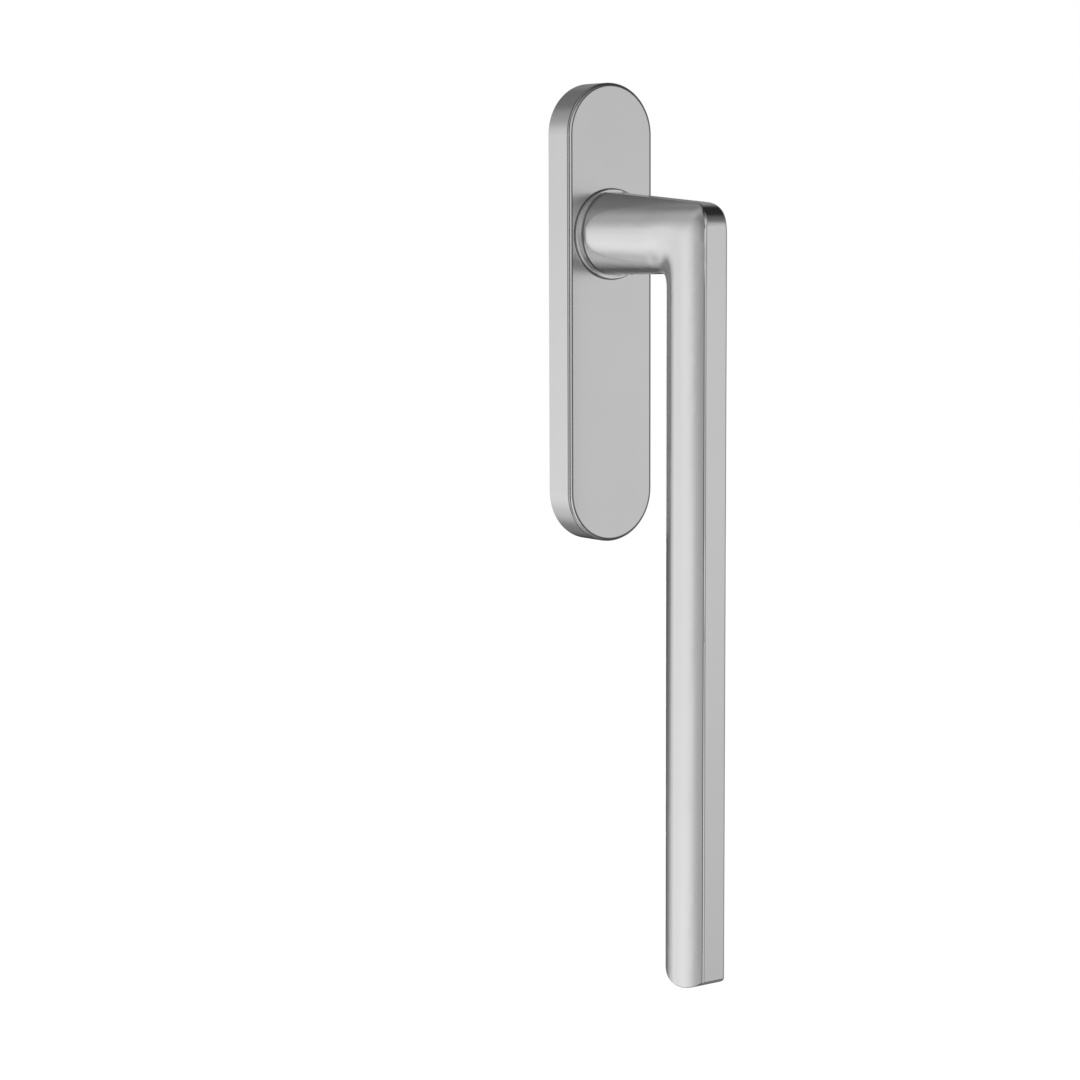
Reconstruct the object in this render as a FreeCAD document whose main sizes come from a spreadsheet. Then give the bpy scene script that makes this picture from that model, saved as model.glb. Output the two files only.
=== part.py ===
import FreeCAD, Part
import math
import os
import re
import Sketcher

# Lift and slide door handle: a long lever hanging from a stadium backplate.
# X runs across the door, Z is up, and the door face is the plane Y = 0.
# The user stands at negative Y, and "depth" is a distance in front of the door face.
# The origin is on the spindle axis, in the door face.

V = FreeCAD.Vector
doc = FreeCAD.newDocument("LiftAndSlideHandle")
sheet = doc.addObject("Spreadsheet::Sheet", "Sizes")

DIMENSIONS = {
    # backplate
    "plate_width": 36.0,
    "plate_depth": 12.6,
    "plate_above_axis": 52.55,
    "plate_below_axis": 108.55,
    "plate_edge_radius": 1.25,
    "cover_wall": 1.5,
    "cover_clearance": 0.2,
    # collar ring
    "collar_wall": 1.1,
    "collar_stand": 0.5,
    "collar_edge_radius": 0.15,
    "collar_lip": 0.5,
    "collar_floor": 1.3,
    "collar_gap": 0.1,
    # round end of the lever in the collar ring
    "journal_diameter": 28.9,
    "journal_gap": 0.3,
    "flange_gap": 0.15,
    "flange_thickness": 0.9,
    "flange_edge_radius": 0.35,
    # groove round the neck in the face of the flange
    "groove_width": 0.4,
    "groove_depth": 0.6,
    # neck and bend
    "neck_width": 27.7,
    "neck_above_axis": 15.1,
    "neck_below_axis": 14.45,
    "neck_top": 14.5,
    "bend_above_axis": 13.1,
    "bend_below_axis": 13.5,
    "inner_corner_radius": 5.3,
    "outer_corner_radius": 8.0,
    "corner_height": 10.25,
    "ridge_radius": 1.0,
    # grip
    "grip_front": 71.5,
    "grip_depth": 23.0,
    "grip_width": 15.5,
    "grip_widest": 58.4,
    "grip_oval_reach": 16.25,
    "grip_below_axis": 258.7,
    "tip_radius": 14.9,
    "tip_lowest": 62.3,
    "tip_edge_radius": 0.4,
    # hub and spindle
    "hub_diameter": 20.0,
    "hub_back": 1.3,
    "running_gap": 0.05,
    "axial_play": 0.15,
    "spindle_side": 10.0,
    "spindle_gap": 0.1,
    "spindle_chamfer": 1.0,
    "spindle_reach": 18.0,
    "spindle_seat": 36.0,
    # grub screw
    "grub_diameter": 6.0,
    "grub_depth": 26.0,
    "grub_length": 8.0,
    "grub_key": 3.0,
    "grub_key_depth": 3.0,
    "thread_gap": 0.05,
    # mechanism behind the base plate
    "lid_thickness": 1.0,
    "lid_rim": 0.3,
    "lid_centre_offset": 6.5,
    "lid_gap": 0.1,
    "lid_bore_gap": 1.1,
    "lid_screw_inset": 2.475,
    "lid_screw_angle": 54.74,
    "lid_screw_radius": 1.1,
    "lid_screw_length": 5.0,
    "lid_screw_head_radius": 1.9,
    "recess_gap": 0.7,
    "recess_depth": 5.8,
    "ring_start": 1.6,
    "ring_thickness": 1.2,
    "ring_groove_depth": 0.5,
    "ring_width": 2.4,
    "ring_opening": 6.0,
    "disc_thickness": 2.0,
    "disc_rim": 3.6,
    "disc_flat_rim": 2.3,
    "hub_flat_depth": 1.4,
    "disc_spring_width": 2.45,
    "disc_spring_thickness": 0.3,
    "disc_spring_gap": 0.1,
    "leaf_thickness": 0.5,
    "leaf_length": 24.0,
    "leaf_gap": 0.1,
    "leaf_end_gap": 0.3,
    # bearing bush and thrust washer
    "bush_wall": 1.5,
    "bush_flange": 0.4,
    "bush_flange_width": 1.65,
    "thrust_thickness": 0.5,
    "thrust_gap": 0.3,
    # fixing screws
    "screw_above_axis": 28.0,
    "screw_pitch": 80.0,
    "screw_diameter": 6.0,
    "screw_head_diameter": 11.3,
    "screw_shoulder": 0.1,
    "screw_shoulder_end": 2.5,
    "screw_hole_gap": 0.2,
    "screw_sink": 0.4,
    "screw_reach": 20.0,
    "screw_chamfer": 0.7,
    "screw_key": 4.0,
    "screw_key_depth": 2.4,
    # cover clips
    "clip_width": 5.0,
    "clip_thickness": 0.5,
    "clip_depth": 4.6,
    "clip_start": 3.4,
    "clip_pocket": 2.4,
    "clip_side_gap": 0.2,
    "clip_wall_gap": 0.3,
    # ribbed pocket in the back of the base plate
    "pocket_wall": 2.5,
    "pocket_depth": 6.5,
    "pocket_margin": 7.0,
}

for row, (alias, value) in enumerate(DIMENSIONS.items(), start=1):
    sheet.set(f"A{row}", alias)
    sheet.set(f"B{row}", str(value))
    sheet.setAlias(f"B{row}", alias)
doc.recompute()


def from_sheet(expression):
    """Put the sheet's name before every alias of an expression."""
    return re.sub(
        r"[a-z_]+",
        lambda word: f"Sizes.{word[0]}" if word[0] in DIMENSIONS else word[0],
        expression,
    )


def bind(thing, name, expression):
    thing.setExpression(name, from_sheet(expression))


def size_of(expression):
    """Present value of a length that is worked out from the sheet."""
    return float(sheet.evalExpression(from_sheet(expression)))


# Lengths worked out from the sheet, as expressions in its aliases
BASE_FRONT = "( plate_depth - cover_wall )"
COVER_INSIDE = "( plate_width / 2 - cover_wall )"
BASE_RADIUS = f"( {COVER_INSIDE} - cover_clearance )"
TOP_CENTRE = "( plate_above_axis - plate_width / 2 )"
BOTTOM_CENTRE = "( plate_below_axis - plate_width / 2 )"
JOURNAL_BORE = "( journal_diameter / 2 + journal_gap )"
COLLAR_OUTSIDE = f"( {JOURNAL_BORE} + collar_wall )"
COLLAR_SPIGOT = f"( {COLLAR_OUTSIDE} - collar_lip )"
COLLAR_FLOOR = f"( {BASE_FRONT} + collar_floor )"
HUB_BORE = "( hub_diameter / 2 + running_gap )"
HUB_FLAT = "( hub_diameter / 2 - hub_flat_depth )"
BUSH_OUTSIDE = f"( {HUB_BORE} + bush_wall )"
BUSH_FLANGE = f"( {BUSH_OUTSIDE} + bush_flange_width )"
WASHER_BORE = f"( {HUB_BORE} + thrust_gap )"
DISC_RADIUS = "( hub_diameter / 2 + disc_rim )"
DISC_FLAT = "( hub_diameter / 2 + disc_flat_rim )"
DISC_SPRING_OUTSIDE = f"( {WASHER_BORE} + disc_spring_width )"
RECESS_RADIUS = f"( {DISC_RADIUS} + recess_gap )"
LID_RADIUS = f"( {RECESS_RADIUS} + lid_rim )"
LID_BORE = "( spindle_side / sqrt(2) + lid_bore_gap )"
JOURNAL_START = f"( {COLLAR_FLOOR} + thrust_thickness + axial_play )"
DISC_START = "( ring_start + ring_thickness )"
DISC_END = f"( {DISC_START} + disc_thickness )"
LEAF_INSIDE = f"( {DISC_FLAT} + leaf_gap )"
LEAF_OUTSIDE = f"( {LEAF_INSIDE} + leaf_thickness )"
GRIP_BACK = "( grip_front - grip_depth )"
PIVOT_DEPTH = f"( {GRIP_BACK} - inner_corner_radius )"
PIVOT_DROP = "( bend_below_axis + inner_corner_radius )"
PIVOT_TO_WIDEST = f"( grip_widest - {PIVOT_DEPTH} )"
FLANGE_START = "( plate_depth + collar_stand + flange_gap )"
FLANGE_END = f"( {FLANGE_START} + flange_thickness )"
TOP_TAPER = f"( ( neck_above_axis - bend_above_axis ) / ( {PIVOT_DEPTH} - {FLANGE_START} ) )"
SIDE_TAPER = f"( ( neck_width - grip_width ) / 2 / ( grip_widest - {FLANGE_START} ) )"
SCREW_BELOW = "( screw_pitch - screw_above_axis )"
SCREW_HEAD = "( screw_head_diameter / 2 )"
SCREW_SHANK = "( screw_diameter / 2 )"
SCREW_SHOULDER = f"( {SCREW_SHANK} + screw_shoulder )"
GRUB_TOP = "( spindle_side / 2 )"
LID_SCREW_RING = f"( {LID_RADIUS} - lid_screw_inset )"
LID_SCREW_ACROSS = f"( {LID_SCREW_RING} * cos(lid_screw_angle * 1 deg) )"
LID_SCREW_UP = f"( lid_centre_offset + {LID_SCREW_RING} * sin(lid_screw_angle * 1 deg) )"
LID_SCREW_PLACES = [
    (f"{side}{LID_SCREW_ACROSS}", f"{height}{LID_SCREW_UP}")
    for height in ("", "-")
    for side in ("-", "")
]

# Weight of the middle control point in a quarter of an oval
QUARTER_WEIGHT = math.sqrt(0.5)
# The neck and the bend are drawn through these many steps of oval sections
NECK_STEPS = 8
FAN_STEPS = 12
# The bend's outer side and its widest line are squarer for a larger power
OUTER_SHARPNESS = 12
WIDEST_SHARPNESS = 4
# Points and edges nearer than this are taken to be in one place
TOUCHING = 1e-4


def new_body(label):
    body = doc.addObject("PartDesign::Body", label)
    body.Label = label
    return body


def new_sketch(body, name, role, offset="0"):
    """A sketch on one of the body's origin planes, moved along its normal."""
    sketch = body.newObject("Sketcher::SketchObject", name)
    plane = next(item for item in body.Origin.OriginFeatures if item.Role == role)
    sketch.AttachmentSupport = (plane, [""])
    sketch.MapMode = "FlatFace"
    bind(sketch, "AttachmentOffset.Base.z", offset)
    return sketch


def place_point(sketch, geometry, position, across, up):
    """Tie a point of the sketch to the sketch's origin by two expressions."""
    for direction, expression in (("DistanceX", across), ("DistanceY", up)):
        index = sketch.addConstraint(
            Sketcher.Constraint(direction, -1, 1, geometry, position, size_of(expression))
        )
        bind(sketch, f"Constraints[{index}]", expression)


def set_radius(sketch, geometry, radius):
    index = sketch.addConstraint(Sketcher.Constraint("Radius", geometry, size_of(radius)))
    bind(sketch, f"Constraints[{index}]", radius)


def outward_arc(start, end, radius):
    """Arc between two corners of an outline that runs anticlockwise, bulging out of it."""
    chord = end - start
    middle = (start + end) / 2
    inwards = V(-chord.y, chord.x, 0).normalize()
    centre = middle + inwards * math.sqrt(radius ** 2 - (chord.Length / 2) ** 2)
    angles = [math.atan2(corner.y - centre.y, corner.x - centre.x) for corner in (start, end)]
    return Part.ArcOfCircle(Part.Circle(centre, V(0, 0, 1), radius), *angles)


def polygon(sketch, points, arcs=None):
    """A closed outline through points given as expressions, with straight sides and arcs."""
    arcs = arcs or {}
    count = len(points)
    corners = [V(size_of(across), size_of(up), 0) for across, up in points]
    for step in range(count):
        start, end = corners[step], corners[(step + 1) % count]
        if step in arcs:
            sketch.addGeometry(outward_arc(start, end, size_of(arcs[step])))
        else:
            sketch.addGeometry(Part.LineSegment(start, end))
    for step in range(count):
        sketch.addConstraint(Sketcher.Constraint("Coincident", step, 2, (step + 1) % count, 1))
    for step, radius in arcs.items():
        set_radius(sketch, step, radius)
    for step, (across, up) in enumerate(points):
        place_point(sketch, step, 1, across, up)
    return sketch


def rectangle(sketch, half_width, bottom, top):
    return polygon(
        sketch,
        [
            (f"-{half_width}", bottom),
            (half_width, bottom),
            (half_width, top),
            (f"-{half_width}", top),
        ],
    )


def circle(sketch, radius, across="0", up="0"):
    centre = V(size_of(across), size_of(up), 0)
    geometry = sketch.addGeometry(Part.Circle(centre, V(0, 0, 1), size_of(radius)))
    place_point(sketch, geometry, 3, across, up)
    set_radius(sketch, geometry, radius)
    return sketch


def hexagon(sketch, across_flats):
    """A regular hexagon with two sides upright."""
    corner = f"{across_flats} / sqrt(3)"
    points = [
        (f"{corner} * cos({angle} deg)", f"{corner} * sin({angle} deg)")
        for angle in range(30, 390, 60)
    ]
    return polygon(sketch, points)


def stadium(sketch, radius, top_centre, bottom_centre):
    """Two half circles joined by straight sides, bottom_centre below the axis."""
    half = size_of(radius)
    upper = size_of(top_centre)
    lower = -size_of(bottom_centre)
    round_top = Part.Circle(V(0, upper, 0), V(0, 0, 1), half)
    round_bottom = Part.Circle(V(0, lower, 0), V(0, 0, 1), half)
    top = sketch.addGeometry(Part.ArcOfCircle(round_top, 0, math.pi))
    bottom = sketch.addGeometry(Part.ArcOfCircle(round_bottom, math.pi, math.tau))
    left = sketch.addGeometry(Part.LineSegment(V(-half, upper, 0), V(-half, lower, 0)))
    right = sketch.addGeometry(Part.LineSegment(V(half, lower, 0), V(half, upper, 0)))
    sketch.addConstraint(
        [
            Sketcher.Constraint("Tangent", top, 2, left, 1),
            Sketcher.Constraint("Tangent", left, 2, bottom, 1),
            Sketcher.Constraint("Tangent", bottom, 2, right, 1),
            Sketcher.Constraint("Tangent", right, 2, top, 1),
        ]
    )
    place_point(sketch, top, 3, "0", top_centre)
    place_point(sketch, bottom, 3, "0", f"-{bottom_centre}")
    set_radius(sketch, top, radius)
    return sketch


def double_d(sketch, radius, flat):
    """A circle about the axis with two upright flats."""
    reach = size_of(radius)
    half = size_of(flat)
    height = math.sqrt(reach ** 2 - half ** 2)
    start = math.acos(half / reach)
    round_outline = Part.Circle(V(0, 0, 0), V(0, 0, 1), reach)
    top = sketch.addGeometry(Part.ArcOfCircle(round_outline, start, math.pi - start))
    bottom = sketch.addGeometry(Part.ArcOfCircle(round_outline, math.pi + start, math.tau - start))
    left = sketch.addGeometry(Part.LineSegment(V(-half, height, 0), V(-half, -height, 0)))
    right = sketch.addGeometry(Part.LineSegment(V(half, -height, 0), V(half, height, 0)))
    sketch.addConstraint(
        [
            Sketcher.Constraint("Coincident", top, 2, left, 1),
            Sketcher.Constraint("Coincident", left, 2, bottom, 1),
            Sketcher.Constraint("Coincident", bottom, 2, right, 1),
            Sketcher.Constraint("Coincident", right, 2, top, 1),
            Sketcher.Constraint("Vertical", left),
            Sketcher.Constraint("Vertical", right),
        ]
    )
    for arc in (top, bottom):
        place_point(sketch, arc, 3, "0", "0")
        set_radius(sketch, arc, radius)
    for line, across in ((left, f"-{flat}"), (right, flat)):
        index = sketch.addConstraint(
            Sketcher.Constraint("DistanceX", -1, 1, line, 1, size_of(across))
        )
        bind(sketch, f"Constraints[{index}]", across)
    return sketch


def pad(body, sketch, length):
    """Solid from the sketch forwards."""
    feature = body.newObject("PartDesign::Pad", f"{sketch.Name}_pad")
    feature.Profile = sketch
    bind(feature, "Length", length)
    sketch.Visibility = False
    doc.recompute()
    return feature


def pocket(body, sketch, length):
    """Cut from the sketch forwards, and make sure that it cuts."""
    before = body.Shape.Volume
    feature = body.newObject("PartDesign::Pocket", f"{sketch.Name}_pocket")
    feature.Profile = sketch
    feature.Reversed = True
    bind(feature, "Length", length)
    sketch.Visibility = False
    doc.recompute()
    if body.Shape.Volume >= before:
        raise RuntimeError(f"{feature.Name} cuts nothing")
    return feature


def front_sketch(body, name, depth="0"):
    """A sketch seen from the front, X to the right and Z up, at a depth."""
    return new_sketch(body, name, "XZ_Plane", depth)


def turn(body, name, points):
    """A turned solid from points of radius and depth, about the Y axis."""
    sketch = new_sketch(body, name, "XY_Plane")
    polygon(sketch, [(radius, f"-{depth}") for radius, depth in points])
    feature = body.newObject("PartDesign::Revolution", f"{name}_turned")
    feature.Profile = sketch
    feature.ReferenceAxis = (sketch, ["V_Axis"])
    feature.Angle = 360
    sketch.Visibility = False
    doc.recompute()
    return feature


def round_edges(body, radius, wanted):
    """Fillet the edges of the body's last feature that the test picks."""
    base = body.Tip
    names = [
        f"Edge{index}"
        for index, edge in enumerate(base.Shape.Edges, start=1)
        if wanted(edge)
    ]
    feature = body.newObject("PartDesign::Fillet", f"{body.Name}_fillet")
    feature.Base = (base, names)
    bind(feature, "Radius", radius)
    doc.recompute()
    return feature


def at_depth(edge, depth):
    """True where the whole edge lies at this depth."""
    box = edge.BoundBox
    return abs(box.YMin + depth) < TOUCHING and abs(box.YMax + depth) < TOUCHING


def make_cover_plate():
    """Hollow stadium with a rounded front edge and a hole for the collar ring."""
    body = new_body("cover_plate")
    outside = stadium(front_sketch(body, "cover_outline"), "plate_width / 2", TOP_CENTRE, BOTTOM_CENTRE)
    pad(body, outside, "plate_depth")
    front = size_of("plate_depth")
    round_edges(body, "plate_edge_radius", lambda edge: at_depth(edge, front))
    hollow = stadium(front_sketch(body, "cover_hollow"), COVER_INSIDE, TOP_CENTRE, BOTTOM_CENTRE)
    pocket(body, hollow, BASE_FRONT)
    hole = circle(front_sketch(body, "cover_hole", BASE_FRONT), f"{COLLAR_SPIGOT} + collar_gap")
    pocket(body, hole, "cover_wall")
    return body


def make_base_plate():
    """Cast plate that fills the cover: bearing bore, mechanism recess and screw holes."""
    body = new_body("base_plate")
    outline = stadium(front_sketch(body, "base_outline"), BASE_RADIUS, TOP_CENTRE, BOTTOM_CENTRE)
    pad(body, outline, BASE_FRONT)
    pocket(body, circle(front_sketch(body, "base_bore"), BUSH_OUTSIDE), BASE_FRONT)
    pocket(body, circle(front_sketch(body, "base_recess"), RECESS_RADIUS), "recess_depth")
    leaf_room = rectangle(
        front_sketch(body, "base_leaf_room"),
        f"( {LEAF_OUTSIDE} + leaf_end_gap )",
        "-( leaf_length / 2 + leaf_end_gap )",
        "( leaf_length / 2 + leaf_end_gap )",
    )
    pocket(body, leaf_room, f"{DISC_END} + leaf_end_gap")
    lid_seat = stadium(
        front_sketch(body, "base_lid_seat"),
        f"( {LID_RADIUS} + lid_gap )",
        "lid_centre_offset",
        "lid_centre_offset",
    )
    pocket(body, lid_seat, "lid_thickness")
    for number, (across, up) in enumerate(LID_SCREW_PLACES, start=1):
        hole = circle(front_sketch(body, f"base_lid_hole_{number}"), "lid_screw_radius", across, up)
        pocket(body, hole, "lid_screw_length")
    pockets = rectangle(
        front_sketch(body, "base_back_pocket"),
        f"( {BASE_RADIUS} - pocket_wall )",
        f"-( {BOTTOM_CENTRE} )",
        f"-( {SCREW_BELOW} + pocket_margin )",
    )
    pocket(body, pockets, "pocket_depth")
    for end, edge, side in (("top", "plate_above_axis", ""), ("bottom", "plate_below_axis", "-")):
        wall = f"( {edge} - cover_wall )"
        floor = f"( {edge} - cover_wall - cover_clearance - clip_pocket )"
        room = polygon(
            front_sketch(body, f"base_clip_room_{end}", "clip_start - clip_side_gap"),
            [
                ("-( clip_width / 2 + clip_side_gap )", f"{side}{floor}"),
                ("( clip_width / 2 + clip_side_gap )", f"{side}{floor}"),
                ("( clip_width / 2 + clip_side_gap )", f"{side}{wall}"),
                ("-( clip_width / 2 + clip_side_gap )", f"{side}{wall}"),
            ],
        )
        pocket(body, room, "clip_depth + 2 * clip_side_gap")
    for name, place in (("upper", "screw_above_axis"), ("lower", f"-{SCREW_BELOW}")):
        hole = circle(
            front_sketch(body, f"base_screw_hole_{name}"),
            f"( {SCREW_SHOULDER} + screw_hole_gap )",
            "0",
            place,
        )
        pocket(body, hole, BASE_FRONT)
        sink = new_sketch(body, f"base_screw_sink_{name}", "YZ_Plane")
        head = f"( {SCREW_HEAD} + screw_hole_gap )"
        shank = f"( {SCREW_SHOULDER} + screw_hole_gap )"
        polygon(
            sink,
            [
                (f"-( {BASE_FRONT} )", place),
                (f"-( {BASE_FRONT} )", f"{place} + {head}"),
                (f"-( {BASE_FRONT} - screw_sink )", f"{place} + {head}"),
                (f"-( {BASE_FRONT} - screw_sink - {head} + {shank} )", f"{place} + {shank}"),
                (f"-( {BASE_FRONT} - screw_sink - {head} + {shank} )", place),
            ],
        )
        groove = body.newObject("PartDesign::Groove", f"base_screw_groove_{name}")
        groove.Profile = sink
        groove.ReferenceAxis = (sink, ["Edge5"])
        groove.Angle = 360
        sink.Visibility = False
        doc.recompute()
    return body


def make_collar_ring():
    """Stepped ring: a lip on the cover, a spigot through it and a floor for the washer."""
    body = new_body("collar_ring")
    front = "( plate_depth + collar_stand )"
    turn(
        body,
        "collar_section",
        [
            (WASHER_BORE, BASE_FRONT),
            (COLLAR_SPIGOT, BASE_FRONT),
            (COLLAR_SPIGOT, "plate_depth"),
            (COLLAR_OUTSIDE, "plate_depth"),
            (COLLAR_OUTSIDE, front),
            (JOURNAL_BORE, front),
            (JOURNAL_BORE, COLLAR_FLOOR),
            (WASHER_BORE, COLLAR_FLOOR),
        ],
    )
    depth = size_of(front)
    radius = size_of(COLLAR_OUTSIDE)
    round_edges(
        body,
        "collar_edge_radius",
        lambda edge: at_depth(edge, depth) and abs(edge.BoundBox.XMax - radius) < TOUCHING,
    )
    return body


def make_bearing_bush():
    """Flanged plastic sleeve in the base plate's bore."""
    body = new_body("bearing_bush")
    turn(
        body,
        "bush_section",
        [
            (HUB_BORE, "( recess_depth - bush_flange )"),
            (BUSH_FLANGE, "( recess_depth - bush_flange )"),
            (BUSH_FLANGE, "recess_depth"),
            (BUSH_OUTSIDE, "recess_depth"),
            (BUSH_OUTSIDE, BASE_FRONT),
            (HUB_BORE, BASE_FRONT),
        ],
    )
    return body


def make_thrust_washer():
    """Flat plastic ring on the collar's floor, under the neck's shoulder."""
    body = new_body("thrust_washer")
    outer = "( journal_diameter / 2 )"
    end = f"( {COLLAR_FLOOR} + thrust_thickness )"
    turn(
        body,
        "thrust_section",
        [
            (WASHER_BORE, COLLAR_FLOOR),
            (outer, COLLAR_FLOOR),
            (outer, end),
            (WASHER_BORE, end),
        ],
    )
    return body


def make_disc_spring():
    """Slightly coned spring washer between the index disc and the bush flange."""
    body = new_body("disc_spring")
    back = f"( {DISC_END} + disc_spring_gap )"
    front = "( recess_depth - bush_flange )"
    turn(
        body,
        "disc_spring_section",
        [
            (WASHER_BORE, back),
            (DISC_SPRING_OUTSIDE, f"( {front} - disc_spring_thickness )"),
            (DISC_SPRING_OUTSIDE, front),
            (WASHER_BORE, f"( {back} + disc_spring_thickness )"),
        ],
    )
    return body


def make_index_disc():
    """Disc with two outer flats for the rest positions, keyed on the hub's two flats."""
    body = new_body("index_disc")
    outline = double_d(front_sketch(body, "index_outline", DISC_START), DISC_RADIUS, DISC_FLAT)
    pad(body, outline, "disc_thickness")
    bore = double_d(front_sketch(body, "index_bore", DISC_START), "( hub_diameter / 2 )", HUB_FLAT)
    pocket(body, bore, "disc_thickness")
    return body


def make_mechanism_lid():
    """Thin steel lid let into the back of the base plate."""
    body = new_body("mechanism_lid")
    outline = stadium(
        front_sketch(body, "lid_outline"), LID_RADIUS, "lid_centre_offset", "lid_centre_offset"
    )
    pad(body, outline, "lid_thickness")
    pocket(body, circle(front_sketch(body, "lid_bore"), LID_BORE), "lid_thickness")
    for number, (across, up) in enumerate(LID_SCREW_PLACES, start=1):
        hole = circle(front_sketch(body, f"lid_hole_{number}"), "lid_screw_head_radius", across, up)
        pocket(body, hole, "lid_thickness")
    return body


def make_lid_screw(number, across, up):
    """Small flat-headed screw, its head flush with the back of the lid."""
    body = new_body(f"lid_screw_{number}")
    turn(
        body,
        f"lid_screw_section_{number}",
        [
            ("0", "0"),
            ("lid_screw_head_radius", "0"),
            ("lid_screw_head_radius", "lid_thickness"),
            ("lid_screw_radius", "lid_thickness"),
            ("lid_screw_radius", "lid_screw_length"),
            ("0", "lid_screw_length"),
        ],
    )
    bind(body, "Placement.Base.x", across)
    bind(body, "Placement.Base.z", up)
    return body


def make_retaining_ring():
    """Open spring ring in the hub's groove, its gap at the bottom."""
    body = new_body("retaining_ring")
    inner = "( hub_diameter / 2 - ring_groove_depth )"
    outer = f"( {inner} + ring_width )"
    ring = circle(front_sketch(body, "ring_outline", "ring_start"), outer)
    pad(body, ring, "ring_thickness")
    pocket(body, circle(front_sketch(body, "ring_bore", "ring_start"), inner), "ring_thickness")
    gap = rectangle(
        front_sketch(body, "ring_gap", "ring_start"), "( ring_opening / 2 )", "-hub_diameter", "0"
    )
    pocket(body, gap, "ring_thickness")
    return body


def make_leaf_spring(side_name, side):
    """Straight leaf beside a flat of the index disc, its ends held in the recess."""
    body = new_body(f"leaf_spring_{side_name}")
    leaf = polygon(
        front_sketch(body, f"leaf_outline_{side_name}", DISC_START),
        [
            (f"{side}{LEAF_INSIDE}", "-leaf_length / 2"),
            (f"{side}{LEAF_OUTSIDE}", "-leaf_length / 2"),
            (f"{side}{LEAF_OUTSIDE}", "leaf_length / 2"),
            (f"{side}{LEAF_INSIDE}", "leaf_length / 2"),
        ],
    )
    pad(body, leaf, "disc_thickness")
    return body


def make_cover_clip(end_name, edge, side):
    """U-shaped spring strip in the end of the base plate that presses on the cover's wall."""
    body = new_body(f"cover_clip_{end_name}")
    outer = f"( {edge} - cover_wall - clip_wall_gap )"
    floor = f"( {edge} - cover_wall - cover_clearance - clip_pocket )"
    back = "clip_start"
    front = "( clip_start + clip_depth )"
    sketch = new_sketch(body, f"clip_outline_{end_name}", "YZ_Plane", "-clip_width / 2")
    polygon(
        sketch,
        [
            (f"-{back}", f"{side}{floor}"),
            (f"-{front}", f"{side}{floor}"),
            (f"-{front}", f"{side}{outer}"),
            (f"-{back}", f"{side}{outer}"),
            (f"-{back}", f"{side}( {outer} - clip_thickness )"),
            (f"-( {front} - clip_thickness )", f"{side}( {outer} - clip_thickness )"),
            (f"-( {front} - clip_thickness )", f"{side}( {floor} + clip_thickness )"),
            (f"-{back}", f"{side}( {floor} + clip_thickness )"),
        ],
    )
    pad(body, sketch, "clip_width")
    return body


def make_fixing_screw(name, place):
    """Countersunk shoulder screw with a hexagon socket, through the base plate into the door gear."""
    body = new_body(f"fixing_screw_{name}")
    top = f"( {BASE_FRONT} - screw_sink )"
    turn(
        body,
        f"fixing_screw_section_{name}",
        [
            ("0", "-( screw_reach )"),
            (f"( {SCREW_SHANK} - screw_chamfer )", "-( screw_reach )"),
            (SCREW_SHANK, "-( screw_reach - screw_chamfer )"),
            (SCREW_SHANK, "-( screw_shoulder_end )"),
            (SCREW_SHOULDER, "-( screw_shoulder_end )"),
            (SCREW_SHOULDER, f"( {top} - {SCREW_HEAD} + {SCREW_SHOULDER} )"),
            (SCREW_HEAD, top),
            ("0", top),
        ],
    )
    key = hexagon(front_sketch(body, f"fixing_screw_key_{name}", f"{top} - screw_key_depth"), "screw_key")
    pocket(body, key, "screw_key_depth")
    bind(body, "Placement.Base.z", place)
    return body


def make_spindle():
    """Square bar with chamfered ends, from the door gear into the neck."""
    body = new_body("spindle")
    half = "( spindle_side / 2 )"
    pad(
        body,
        rectangle(front_sketch(body, "spindle_square", "-( spindle_reach )"), half, f"-{half}", half),
        "spindle_reach + spindle_seat",
    )
    ends = (size_of("spindle_reach"), size_of("spindle_seat"))
    base = body.Tip
    names = [
        f"Edge{index}"
        for index, edge in enumerate(base.Shape.Edges, start=1)
        if at_depth(edge, -ends[0]) or at_depth(edge, ends[1])
    ]
    chamfer = body.newObject("PartDesign::Chamfer", "spindle_chamfered")
    chamfer.Base = (base, names)
    bind(chamfer, "Size", "spindle_chamfer")
    doc.recompute()
    return body


def make_grub_screw():
    """Headless screw under the neck, its point on the spindle and a hexagon socket below."""
    body = new_body("grub_screw")
    outline = circle(new_sketch(body, "grub_outline", "XY_Plane"), "grub_diameter / 2")
    pad(body, outline, "grub_length")
    key = hexagon(new_sketch(body, "grub_socket", "XY_Plane"), "grub_key")
    pocket(body, key, "grub_key_depth")
    bind(body, "Placement.Base.y", "-grub_depth")
    bind(body, "Placement.Base.z", f"-( {GRUB_TOP} + grub_length )")
    return body


def half_width_at(depth):
    """Half the width of the neck and the bend, which taper evenly to the grip's widest line."""
    return f"( grip_width / 2 + {SIDE_TAPER} * ( grip_widest - {depth} ) )"


def neck_section(share):
    """Sizes of the neck's oval, as expressions, at a share of the way to the bend."""
    depth = f"( {FLANGE_START} + {share} * ( {PIVOT_DEPTH} - {FLANGE_START} ) )"
    return {
        "depth": depth,
        "height": "0",
        "outer": f"( neck_above_axis + {share} * ( bend_above_axis - neck_above_axis ) )",
        "inner": f"( neck_below_axis + {share} * ( bend_below_axis - neck_below_axis ) )",
        "half_width": half_width_at(depth),
    }


def squarish(up, out, sharpness):
    """Length that follows both limits, as a square with rounded corners does."""
    return f"( ( pow({up}; {sharpness}) + pow({out}; {sharpness}) ) ^ ( -1 / {sharpness} ) )"


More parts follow.
